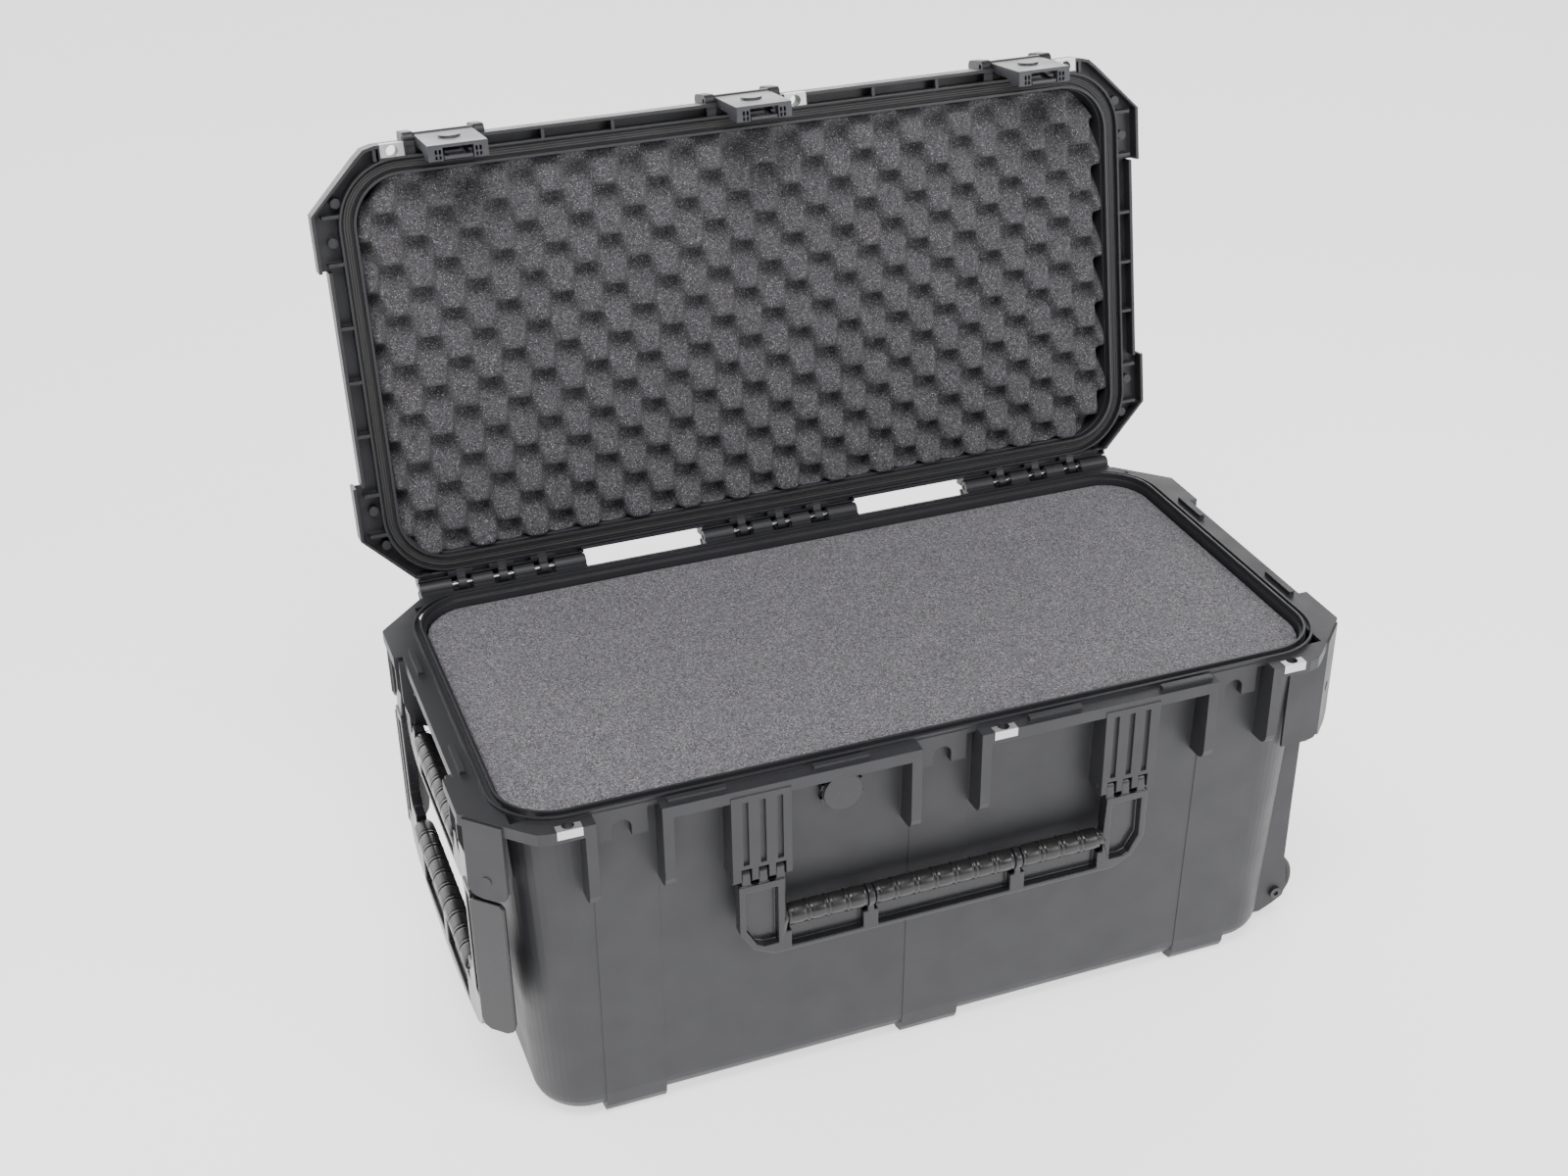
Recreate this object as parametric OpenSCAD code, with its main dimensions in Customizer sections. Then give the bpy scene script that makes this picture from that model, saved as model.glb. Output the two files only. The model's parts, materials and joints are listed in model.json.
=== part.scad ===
// Wheeled hard equipment case with a hinged lid, three trigger latches, three
// folding handles, two wheels and a foam filling. Millimetres, +Z up. The
// origin is the centre of the underside; the front, with the latches, faces -Y
// and the wheels are at the +X end. The lid is drawn fully open.

/* [Case] */
// Length of the foam-filled opening
open_l = 736.6; // [720:0.1:760]
// Depth of the foam-filled opening, front to back
open_w = 355.6; // [350:0.1:362]
// Corner radius of the opening
open_r = 45; // [40:1:48]
// Height of the rim face of the base
base_h = 337; // [330:1:350]
// Height of the lid above its rim face
lid_h = 56; // [50:1:62]
// Wall thickness of both mouldings
wall = 5; // [4:0.5:6]
// How much each end wall leans in between rim and floor
end_draft = 13; // [8:1:16]
// How much the front and back walls lean in between rim and floor
side_draft = 10.5; // [8:0.5:14]

/* [Lid] */
// Angle of the fully open lid
lid_open = 100.5; // [90:0.5:110]
// Distance of the hinge axis behind the centre
hinge_y = 206.3; // [206:0.1:208]
// Radius of the steel hinge pins
hinge_pin_r = 2.5; // [2:0.1:2.8]
// Gap between the rim faces of the closed case
rim_gap = 1.3; // [1.2:0.1:2]

/* [Latches] */
// Distance between neighbouring latches
latch_pitch = 279; // [270:1:285]
// Width of a latch
latch_w = 53; // [50:0.5:53]
// Inward lean of a latch that hangs on its lid
latch_tilt = 3.5; // [3:0.1:4]

/* [Front handle] */
// Height of the pivot of the front handle
front_pivot_z = 250; // [246:1:254]
// Height of the centre of the front grip
front_grip_z = 196; // [194:1:200]
// Radius of the ribbed grips
grip_r = 10; // [9:0.5:10]

/* [Wheels] */
// Outer radius of a wheel
wheel_r = 30.5; // [28:0.5:30.5]
// Width of a wheel
wheel_w = 27; // [24:1:27]
// Height of the axle
axle_z = 32; // [32:0.5:34]

/* [Hidden] */
$fn = 48;
fit = 0.05;
far = 900;

half_l = open_l / 2;
half_w = open_w / 2;

// Body of the base
floor_z = 4.5;
floor_round = 22;
body_x = half_l + 5.2;
body_y = half_w + 5.2;

// Rim flange, the same outline on base and lid
flange_t = 4;
wing_x = 405.3;
mid_x = 397;
front_y = 203.6;
back_y = 196;
wing_in_y = 99;
wing_out_y = 149.5;
chamfer_sum = 555;
pocket_half = 27.3;
pocket_y = 190;
lid_pocket_y = 192.4;
rib_half = 31.6;
rib_t = 9.2;

// Hinge
hinge_z = base_h + 1.1;
knuckle_r = 6.6;
knuckle_gap = 0.6;
group_half = 80;

// Padlock holes
padlock_x = [-327.3, 48.8, 327.3];
padlock_y = -197.3;
padlock_r = 5.2;
plate_t = 0.5;

// Lid
rim_z = base_h + rim_gap;
lid_top = rim_z + lid_h;
web_h = 20;
pocket_depth = 12;

// Latch
latch_x = [-latch_pitch, 0, latch_pitch];
latch_y = -205;
latch_z = base_h + 13;
latch_pin_r = 2.5;
latch_face = -208.5;
trigger_y = -200.6;
trigger_z = base_h - 9;
trigger_pin_r = 1.5;

// Handles
front_pivot_y = -197;
handle_pin_r = 2.5;
carry_pivot_x = -390;
carry_pivot_z = 300;
tow_pivot_x = -388;
tow_pivot_z = 278;
tow_pin_r = 4;

// Wheels
axle_x = 376.5;
axle_r = 4;
wheel_y = 118;

// Valve
valve_x = -92;
valve_z = 302;

// Foam
foam_top = base_h - 5.6;
foam_step = 92;
foam_clear = 0.6;

// ---------------------------------------------------------------- outlines

// Points of a rectangle with round corners, n points to a corner
function round_rect(hx, hy, r, n = 12) = [
    for (k = [0 : 3])
        let (sx = (k == 0 || k == 3) ? 1 : -1, sy = k < 2 ? 1 : -1)
            for (i = [0 : n])
                let (a = 90 * (k + i / n))
                    [sx * (hx - r) + r * cos(a), sy * (hy - r) + r * sin(a)]
];

// One quarter of the rim flange, from the middle of the side to the front
function quarter_rim(edge_y, grow) = [
    [mid_x + grow, 0],
    [mid_x + grow, wing_in_y],
    [wing_x + grow, wing_in_y],
    [wing_x + grow, wing_out_y],
    [chamfer_sum - 194 + grow, 194 + grow * 0.4],
    [353 + grow * 0.6, edge_y - 2.6 + grow * 0.8],
    [343, edge_y + grow],
    [0, edge_y + grow]
];

function flip(points) = [for (i = [len(points) - 1 : -1 : 0]) points[i]];
function place(points, sx, sy) = [for (p = points) [p[0] * sx, p[1] * sy]];

// Whole outline of the rim flange
function rim_points(grow = 0) = concat(
    place(quarter_rim(front_y, grow), 1, -1),
    flip(place(quarter_rim(front_y, grow), -1, -1)),
    place(quarter_rim(back_y, grow), -1, 1),
    flip(place(quarter_rim(back_y, grow), 1, 1))
);

// Distance of the front and end walls from the centre at a height
function lean(z) = (base_h - z) / (base_h - floor_z - floor_round);
function wall_y(z) = body_y - side_draft * lean(z);
function end_wall(z) = body_x - end_draft * lean(z);

// ------------------------------------------------------------------ helpers

// A flat bar along X, its profile drawn in Y and Z
module x_bar(x0, x1, points) {
    translate([x0, 0, 0])
        rotate([90, 0, 90])
            linear_extrude(height = x1 - x0)
                polygon(points);
}

// A flat bar along Y, its profile drawn in X and Z
module y_bar(y0, y1, points) {
    translate([0, y1, 0])
        rotate([90, 0, 0])
            linear_extrude(height = y1 - y0)
                polygon(points);
}

module x_rod(x0, x1, y, z, r) {
    translate([x0, y, z])
        rotate([0, 90, 0])
            cylinder(r = r, h = x1 - x0);
}

module y_rod(y0, y1, x, z, r) {
    translate([x, y1, z])
        rotate([90, 0, 0])
            cylinder(r = r, h = y1 - y0);
}

module box(low, high) {
    translate(low)
        cube(high - low);
}

// A block with round vertical corners that widens from bottom to top
module tub(low_x, low_y, low_r, top_x, top_y, top_r, z0, z1, round) {
    hull() {
        for (sx = [-1, 1]) {
            for (sy = [-1, 1]) {
                translate([sx * (low_x - low_r), sy * (low_y - low_r), z0 + round])
                    rotate_extrude($fn = 48)
                        translate([low_r - round, 0])
                            circle(r = round, $fn = 24);
                translate([sx * (top_x - top_r), sy * (top_y - top_r), z1 - 0.2])
                    cylinder(r = top_r, h = 0.2, $fn = 48);
            }
        }
    }
}

// A ring that follows the opening, from one distance outside it to another
module ring(d0, d1, z0, z1) {
    translate([0, 0, z0])
        linear_extrude(height = z1 - z0)
            difference() {
                polygon(round_rect(half_l + d1, half_w + d1, open_r + d1));
                polygon(round_rect(half_l + d0, half_w + d0, open_r + d0));
            }
}

// Moves a lid-borne piece from the closed case to the open lid
module on_open_lid() {
    translate([0, hinge_y, hinge_z])
        rotate([-lid_open, 0, 0])
            translate([0, -hinge_y, -hinge_z])
                children();
}

// --------------------------------------------------------------------- base

module tub_outside() {
    tub(body_x - end_draft, body_y - side_draft, open_r,
        body_x, body_y, open_r + 5, floor_z, base_h - 1, floor_round);
}

module tub_inside(shrink = 0) {
    tub(body_x - end_draft - wall - shrink, body_y - side_draft - wall - shrink,
        open_r - wall, half_l - shrink, half_w - shrink, open_r,
        floor_z + wall + shrink, base_h + 0.2, floor_round - wall);
}

// Shallow bands down the front and back walls that turn under as feet
module wall_bands() {
    for (x = latch_x) {
        for (s = [-1, 1]) {
            x_bar(x - 27.5, x + 27.5, [
                [s * 120, 0],
                [s * (wall_y(30) - 14), 0],
                [s * (wall_y(30) - 5), 3],
                [s * (wall_y(30) - 1.5), 10],
                [s * (wall_y(30) + 0.5), 26],
                [s * (wall_y(base_h) + 0.5), base_h - 2],
                [s * 120, base_h - 2]
            ]);
        }
    }
}

// Runners under the floor that the case stands on, in line with the bands
module feet() {
    for (x = latch_x) {
        box([x - 27.5, -125, 0], [x + 27.5, 125, floor_z + 1]);
    }
}

// Flat rim plate with its skirt, open at the three latch pockets
module base_flange() {
    difference() {
        union() {
            translate([0, 0, base_h - flange_t])
                linear_extrude(height = flange_t)
                    polygon(rim_points());
            translate([0, 0, base_h - 11])
                linear_extrude(height = 11)
                    difference() {
                        polygon(rim_points());
                        polygon(rim_points(-3));
                    }
        }
        for (x = latch_x) {
            box([x - pocket_half, -far, base_h - 40], [x + pocket_half, -pocket_y, base_h + 1]);
        }
        for (x = [-138, 138]) {
            box([x - 58, back_y - 4, base_h - 40], [x + 58, far, base_h - flange_t]);
        }
    }
}

// Two raised ridges round the opening that the lid's gasket closes on
module sealing_ridges() {
    ring(2.5, 4.5, base_h - 1, base_h + 4.5);
    ring(9, 11.2, base_h - 1, base_h + 3);
}

// Raised lugs on the rim that key into the lid's rim pockets
module rim_lugs() {
    for (x = [-221, -97, 97, 223]) {
        box([x - 24.5, -199.4, base_h - 1], [x + 24.5, -194, base_h + 4]);
    }
    for (sx = [-1, 1]) {
        for (y = [-79, 82]) {
            box([min(sx * 386, sx * 391), y - 21, base_h - 1],
                [max(sx * 386, sx * 391), y + 21, base_h + 4]);
        }
    }
}

// Guard ribs either side of each latch, and the catch plate between them
module latch_guards() {
    for (x = latch_x) {
        for (s = [-1, 1]) {
            x_bar(x + s * rib_half - rib_t / 2, x + s * rib_half + rib_t / 2, [
                [-170, base_h], [-front_y, base_h], [-front_y, base_h - 71],
                [-202.4, base_h - 76], [-199, base_h - 79.5], [-194, base_h - 81],
                [-170, base_h - 81]
            ]);
        }
        difference() {
            box([x - 26, -pocket_y, base_h - 29], [x + 19, -170, base_h - 1]);
            box([x - 11, -far, base_h - 30], [x + 5, -170, base_h - 19]);
            y_rod(-far, -170, x - 3, base_h - 20, 8);
        }
        box([x - 5, -pocket_y, base_h - 12], [x - 0.5, -170, base_h - 1]);
    }
}

// Knuckles of the front handle's brackets, and the grooved blocks above them
module front_brackets() {
    for (s = [-1, 1]) {
        difference() {
            x_bar(min(s * 143, s * 195), max(s * 143, s * 195), [
                [-170, base_h - 6], [-204.4, base_h - 6], [-204.4, front_pivot_z - 4],
                [-200.5, front_pivot_z - 8], [-193, front_pivot_z - 8],
                [-184, front_pivot_z - 4], [-170, front_pivot_z - 4]
            ]);
            for (x = [153, 168, 183]) {
                box([s * x - 2.6, -205, front_pivot_z + 12], [s * x + 2.6, -201.5, base_h - 12]);
                box([s * x - 4.6, -206, front_pivot_z - 20], [s * x + 4.6, -187, front_pivot_z + 8]);
            }
            x_rod(min(s * 140, s * 198), max(s * 140, s * 198), front_pivot_y, front_pivot_z,
                handle_pin_r + fit);
        }
    }
}

// Angled ears under the four rim corners
module corner_ears() {
    for (sx = [-1, 1]) {
        low = sx < 0 ? 260 : 232;
        for (sy = [-1, 1]) {
            intersection() {
                translate([sx * 388.5, sy * 166, 0])
                    rotate([0, 0, 45 * sx * sy])
                        union() {
                            x_bar(-2, 2, [
                                [-18.5, base_h - 2], [-18.5, low + 9], [-15, low + 2], [-9, low],
                                [9, low], [15, low + 2], [18.5, low + 9], [18.5, base_h - 2]
                            ]);
                            box([min(0, -30 * sx), -1.5, low + 8],
                                [max(0, -30 * sx), 1.5, base_h - 2]);
                        }
                box([-wing_x, -front_y, 0], [wing_x, front_y, base_h]);
            }
            if (sx > 0) {
                y_bar(min(sy * 177.6, sy * 180.6), max(sy * 177.6, sy * 180.6), [
                    [340, base_h - 2], [377, base_h - 2], [377, low + 7], [373, low + 2],
                    [366, low], [340, low]
                ]);
            }
            translate([sx * 388.5, sy * 166, 278])
                rotate([0, 0, 45 * sx * sy])
                    rotate([0, sx * 90, 0])
                        cylinder(r = 4.5, h = 2.6);
        }
    }
}

// Upright brackets on the handle end: carry handle inside, tow handle outside
module end_brackets() {
    for (sy = [-1, 1]) {
        for (y = [94, 122]) {
            y_bar(sy * y - 2, sy * y + 2, [
                [-360, base_h - 2], [-402, base_h - 2], [-402, 292],
                [-396, 270], [-384, 264], [-360, 258]
            ]);
        }
        y_bar(min(sy * 149, sy * 152.5), max(sy * 149, sy * 152.5), [
            [-355, base_h - 2], [-401, base_h - 2], [-401, 270],
            [-395, 264], [-380, 264], [-355, 264]
        ]);
    }
}

// Wells for the wheels, with the plates that hold the axles
module wheel_brackets() {
    for (sy = [-1, 1]) {
        box([336, sy * wheel_y - 21, floor_z], [366, sy * wheel_y + 21, 70]);
        for (y = [wheel_y - 18, wheel_y + 18]) {
            y_bar(sy * y - 2, sy * y + 2, [
                [350, floor_z + 3], [368, 12], [378, 18], [388, 24],
                [390, 34], [383, 77], [359, 84], [359, 70], [350, 70]
            ]);
        }
        y_bar(min(sy * 144, sy * 148), max(sy * 144, sy * 148), [
            [346, 12], [362, 12], [375, 18], [386, 25],
            [389, 36], [383, 77], [384, 214], [380, 221], [374, 224],
            [end_wall(224) - 5.3, 224], [end_wall(26) - 7, 26]
        ]);
        box([357.2, min(sy * 137, sy * 148), 70], [383.5, max(sy * 137, sy * 148), 74]);
        box([379.5, min(sy * 137, sy * 148), 72], [383.5, max(sy * 137, sy * 148), 214]);
        box([350, sy * wheel_y - 20, 66], [383, sy * wheel_y + 20, 70]);
    }
}

module wheel_wells() {
    for (sy = [-1, 1]) {
        box([341, sy * wheel_y - 16, -1], [far, sy * wheel_y + 16, 66]);
        y_rod(sy * wheel_y - 40, sy * wheel_y + 40, axle_x, axle_z, axle_r + fit);
    }
}

// Gutter under one hinge that ties its knuckles together
module hinge_rail(xc) {
    x_bar(xc - group_half, xc + group_half, [
        [180, base_h - 16], [back_y, base_h - 16], [212, base_h - 13.5], [217, base_h - 8],
        [217, base_h - 5.5], [214.5, base_h - 5.5], [210, base_h - 9], [203, base_h - 8.5],
        [197, base_h - 3], [180, base_h - 3]
    ]);
}

// Long hinge knuckles of the base
module base_knuckles() {
    for (xc = latch_x) {
        hinge_rail(xc);
        for (r = [[-80, -49.5], [-30, -10], [10, 30], [49.5, 80]]) {
            difference() {
                union() {
                    x_rod(xc + r[0], xc + r[1], hinge_y, hinge_z, knuckle_r);
                    x_bar(xc + r[0], xc + r[1], [
                        [180, base_h - 16], [back_y, base_h - 16], [hinge_y + 4, hinge_z - 5],
                        [hinge_y - 2, hinge_z], [back_y, base_h], [180, base_h - 1]
                    ]);
                }
                x_rod(xc - 90, xc + 90, hinge_y, hinge_z, hinge_pin_r + fit);
            }
        }
    }
}

// Solid pads in the rim round the padlock holes
module padlock_pads(z0, z1) {
    for (x = padlock_x) {
        box([x - 12, -front_y + 1, z0], [x + 12, -190.5, z1]);
    }
}

module padlock_holes(z0, z1) {
    for (x = padlock_x) {
        translate([x, padlock_y, z0])
            cylinder(r = padlock_r, h = z1 - z0);
    }
}

module base_shell() {
    color([0.30, 0.30, 0.31])
        difference() {
            union() {
                difference() {
                    union() {
                        tub_outside();
                        wall_bands();
                        latch_guards();
                        front_brackets();
                        corner_ears();
                        end_brackets();
                    }
                    tub_inside();
                }
                difference() {
                    base_flange();
                    box([-half_l - 1, -half_w - 1, 0], [half_l + 1, half_w + 1, base_h + 1]);
                }
                feet();
                rim_lugs();
                padlock_pads(base_h - 11, base_h - 1);
                sealing_ridges();
                base_knuckles();
                wheel_brackets();
            }
            padlock_holes(base_h - 20, base_h + 6);
            wheel_wells();
            y_rod(-200, -150, valve_x, valve_z, 9 + fit);
            y_rod(-126, 126, carry_pivot_x, carry_pivot_z, handle_pin_r + fit);
            for (s = [-1, 1]) {
                y_rod(min(s * 118, s * 154), max(s * 118, s * 154), tow_pivot_x, tow_pivot_z, tow_pin_r + fit);
            }
        }
}

module hinge_pins() {
    color("silver")
        for (xc = latch_x) {
            x_rod(xc - group_half + 1, xc + group_half - 1, hinge_y, hinge_z, hinge_pin_r);
        }
}

// --------------------------------------------------------------------- foam

// One layer of the filling, cut from the tapered space inside the base
module foam_layer(z0, z1) {
    color([0.36, 0.36, 0.37])
        difference() {
            intersection() {
                tub_inside(foam_clear);
                box([-far, -far, z0], [far, far, z1]);
            }
            for (sy = [-1, 1]) {
                box([335, sy * wheel_y - 22, 0], [far, sy * wheel_y + 22, 71]);
            }
            y_rod(-190, -160, valve_x, valve_z, 13);
        }
}

module foam_bottom_pad() {
    foam_layer(floor_z + wall + foam_clear, foam_top - 3 * foam_step - 0.4);
}

module foam_layer_lower() {
    foam_layer(foam_top - 3 * foam_step, foam_top - 2 * foam_step - 0.4);
}

module foam_layer_middle() {
    foam_layer(foam_top - 2 * foam_step, foam_top - foam_step - 0.4);
}

module foam_layer_upper() {
    foam_layer(foam_top - foam_step, foam_top);
}

// ------------------------------------------------------- small base hardware

// Stainless clips folded over the edge of the rim; sheet is signed, away from the rim
module padlock_plates(face_z, sheet, back) {
    for (x = padlock_x) {
        difference() {
            union() {
                box([x - 10.5, -front_y - 0.5, min(face_z, face_z + sheet)],
                    [x + 10.5, back, max(face_z, face_z + sheet)]);
                box([x - 10.5, -front_y - 0.5, min(face_z + sheet, face_z - sheet * 15)],
                    [x + 10.5, -front_y, max(face_z + sheet, face_z - sheet * 15)]);
            }
            translate([x, padlock_y, face_z - 5])
                cylinder(r = padlock_r, h = 10);
        }
    }
}

module base_padlock_plates() {
    color("gainsboro")
        padlock_plates(base_h, plate_t, -195.6);
}

module valve_body() {
    color([0.24, 0.24, 0.25])
        difference() {
            union() {
                y_rod(-190, -187.5, valve_x, valve_z, 17.2);
                y_rod(-188, -wall_y(valve_z + 18) - 0.1, valve_x, valve_z, 18);
                y_rod(-187.5, -173, valve_x, valve_z, 9);
                for (a = [20, 160]) {
                    translate([valve_x, -185.3, valve_z])
                        rotate([0, a, 0])
                            cube([39.5, 4, 5], center = true);
                }
            }
            y_rod(-184, -170, valve_x, valve_z, 6.5);
        }
}

module valve_membrane() {
    color("white")
        y_rod(-183.9, -183.1, valve_x, valve_z, 6.3);
}

module valve_o_ring() {
    color([0.1, 0.1, 0.1])
        translate([valve_x, -174.7, valve_z])
            rotate([90, 0, 0])
                rotate_extrude()
                    translate([10.2, 0])
                        circle(r = 1.1, $fn = 24);
}

module front_handle_pins() {
    color("silver")
        for (s = [-1, 1]) {
            x_rod(min(s * 144, s * 194), max(s * 144, s * 194), front_pivot_y, front_pivot_z, handle_pin_r);
        }
}

module carry_handle_pins() {
    color("silver")
        for (s = [-1, 1]) {
            y_rod(min(s * 92, s * 124), max(s * 92, s * 124), carry_pivot_x, carry_pivot_z, handle_pin_r);
        }
}

module tow_handle_pins() {
    color("silver")
        for (s = [-1, 1]) {
            y_rod(min(s * 120, s * 152.5), max(s * 120, s * 152.5), tow_pivot_x, tow_pivot_z, tow_pin_r);
        }
}

module wheel_axles() {
    color("silver")
        for (s = [-1, 1]) {
            y_rod(min(s * 90, s * 149), max(s * 90, s * 149), axle_x, axle_z, axle_r);
            difference() {
                y_rod(min(s * 148.05, s * 151.5), max(s * 148.05, s * 151.5), axle_x, axle_z, 6);
                y_rod(min(s * 149.8, s * 153), max(s * 149.8, s * 153), axle_x, axle_z, 2.6);
            }
        }
}

module wheel_axle_nuts() {
    color("silver")
        for (s = [-1, 1]) {
            difference() {
                translate([axle_x, s * 94.9, axle_z])
                    rotate([90, 0, 0])
                        cylinder(r = 7.5, h = 5, center = true, $fn = 6);
                y_rod(s * 94.9 - 4, s * 94.9 + 4, axle_x, axle_z, axle_r + fit);
            }
        }
}

// ---------------------------------------------------------------------- lid

// Front edge of the lid, cut back where each latch hangs
module lid_latch_slots() {
    for (x = latch_x) {
        box([x - pocket_half, -far, rim_z - 1],
            [x + pocket_half, -lid_pocket_y, rim_z + pocket_depth]);
        box([x - pocket_half, -far, rim_z + pocket_depth - 1],
            [x + pocket_half, -198.9, lid_top]);
    }
}

// Ribs that guard each latch on the lid and carry its pin
module latch_ears() {
    for (x = latch_x) {
        for (s = [-1, 1]) {
            x0 = x + s * rib_half - rib_t / 2 + 0.2 * s;
            difference() {
                union() {
                    x_rod(x0, x0 + rib_t, latch_y, latch_z, 6);
                    x_rod(x0, x0 + rib_t, latch_y + 1, latch_z + 21, 6);
                    x_bar(x0, x0 + rib_t, [
                        [-180, rim_z + 8], [-191.5, rim_z + 8], [-191.5, rim_z + 4],
                        [-200, rim_z + 4], [latch_y - 6, latch_z],
                        [latch_y - 5, latch_z + 21], [-200, latch_z + 27], [-178, latch_z + 30]
                    ]);
                }
                x_rod(x - 40, x + 40, latch_y, latch_z, latch_pin_r + fit);
            }
        }
    }
}

// Thin ribs across the open pocket of the lid's rim
module lid_rim_ribs() {
    for (x = [-343, -192, -127, 127, 192, 343]) {
        box([x - 1.5, -front_y + 1, rim_z + 0.6], [x + 1.5, -half_w - 12, rim_z + pocket_depth + 1]);
    }
    for (sx = [-1, 1]) {
        for (y = [-147, -105, -48, 2, 52, 108, 147]) {
            box([min(sx * (half_l + 12), sx * 396), y - 1.5, rim_z + 0.6],
                [max(sx * (half_l + 12), sx * 396), y + 1.5, rim_z + pocket_depth + 1]);
        }
        for (sy = [-1, 1]) {
            for (p = [[382, 158], [389, 124]]) {
                translate([sx * p[0], sy * p[1], rim_z + 4])
                    cylinder(r = 4.5, h = pocket_depth - 2);
            }
        }
    }
}

// Short hinge knuckles of the lid
module lid_knuckles() {
    for (xc = latch_x) {
        for (x = [xc - 39.5, xc, xc + 39.5]) {
            difference() {
                union() {
                    x_rod(x - 4, x + 4, hinge_y, hinge_z, knuckle_r);
                    x_bar(x - 4, x + 4, [
                        [184, rim_z + 2], [hinge_y, hinge_z - 2], [hinge_y + 5.5, hinge_z + 3.6],
                        [back_y, rim_z + 18], [184, rim_z + 18]
                    ]);
                }
                x_rod(x - 6, x + 6, hinge_y, hinge_z, hinge_pin_r + fit);
            }
        }
    }
}

// Solid edge of the lid behind each hinge, hollowed to turn round the knuckles
module hinge_blocks() {
    for (xc = latch_x) {
        x_bar(xc - group_half, xc + group_half, [
            [190, rim_z + 3], [back_y, rim_z + 0.1], [hinge_y - 7.5, hinge_z + 0.7],
            [hinge_y - 7.1, hinge_z + 2.7], [hinge_y - 5.7, hinge_z + 4.9],
            [hinge_y - 3.1, hinge_z + 6.8], [hinge_y, hinge_z + 7.7],
            [hinge_y, rim_z + 18], [190, rim_z + 18]
        ]);
    }
}

// Shallow notches in the lid's edge above the long knuckles of the base
module knuckle_room() {
    for (xc = latch_x) {
        for (r = [[-80, -49.5], [-30, -10], [10, 30], [49.5, 80]]) {
            x_rod(xc + r[0] - 0.8, xc + r[1] + 0.8, hinge_y, hinge_z, knuckle_r + knuckle_gap);
            box([xc + r[0] + 2, 193.2, rim_z - 1], [xc + r[1] - 2, 197.6, rim_z + 5]);
        }
    }
}

module lid_outside() {
    translate([0, 0, lid_top + rim_z + 8])
        mirror([0, 0, 1])
            tub(half_l - 1, half_w - 1, open_r, half_l + 5, half_w + 5, open_r + 5,
                rim_z + 8, lid_top, 14);
}

module lid_inside() {
    translate([0, 0, lid_top - wall + rim_z - 1])
        mirror([0, 0, 1])
            tub(half_l - 6, half_w - 6, open_r - 5, half_l - 1, half_w - 1, open_r - 1,
                rim_z - 1, lid_top - wall, 9);
}

// Raised bands over the top of the lid, in line with the latches
module lid_bands() {
    for (x = latch_x) {
        box([x - 27.5, -half_w + 18, lid_top - 2], [x + 27.5, half_w - 18, lid_top + 2]);
    }
}

module lid_shell_closed() {
    difference() {
        union() {
            lid_outside();
            lid_bands();
            difference() {
                union() {
                    translate([0, 0, rim_z])
                        linear_extrude(height = web_h)
                            difference() {
                                polygon(rim_points());
                                polygon(rim_points(-3));
                            }
                    translate([0, 0, rim_z + pocket_depth])
                        linear_extrude(height = 3)
                            polygon(rim_points());
                    lid_rim_ribs();
                    padlock_pads(rim_z, rim_z + pocket_depth + 1);
                }
                lid_latch_slots();
            }
            latch_ears();
            ring(-1, 1.5, rim_z, rim_z + 16);
            ring(12.4, 14.3, rim_z, rim_z + 14);
            ring(-1, 14.3, rim_z + 6, rim_z + 10);
            difference() {
                union() {
                    lid_knuckles();
                    hinge_blocks();
                }
                box([-far, -far, 0], [far, half_w + 14.3, far]);
            }
        }
        lid_inside();
        knuckle_room();
        padlock_holes(rim_z - 1, rim_z + web_h + 1);
        for (x = latch_x) {
            x_rod(x - rib_half - 3.05, x + rib_half + 3.05, latch_y, latch_z, latch_pin_r + fit);
        }
    }
}

module lid_shell() {
    color([0.28, 0.28, 0.29])
        on_open_lid()
            lid_shell_closed();
}

module lid_gasket() {
    color([0.12, 0.12, 0.12])
        on_open_lid()
            ring(3.2, 10.6, rim_z + 4, rim_z + 6);
}

module lid_foam() {
    color([0.30, 0.30, 0.31])
        on_open_lid()
            intersection() {
                translate([0, 0, lid_top - wall + rim_z - 1.6])
                    mirror([0, 0, 1])
                        tub(half_l - 6.6, half_w - 6.6, open_r - 5, half_l - 1.6, half_w - 1.6,
                            open_r - 1, rim_z - 1, lid_top - wall, 9);
                box([-far, -far, rim_z + 1], [far, far, lid_top]);
            }
}

module lid_padlock_plates() {
    color("gainsboro")
        on_open_lid()
            padlock_plates(rim_z, -plate_t, -192.4);
}

module latch_pins() {
    color("silver")
        on_open_lid()
            for (x = latch_x) {
                x_rod(x - rib_half - 3, x + rib_half + 3, latch_y, latch_z, latch_pin_r);
            }
}

// ------------------------------------------------------------------ latches

// Places a latch piece at the latch's own lean on the open lid
module on_latch(x) {
    on_open_lid()
        translate([x, latch_y, latch_z])
            rotate([latch_tilt, 0, 0])
                translate([0, -latch_y, -latch_z])
                    children();
}

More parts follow.
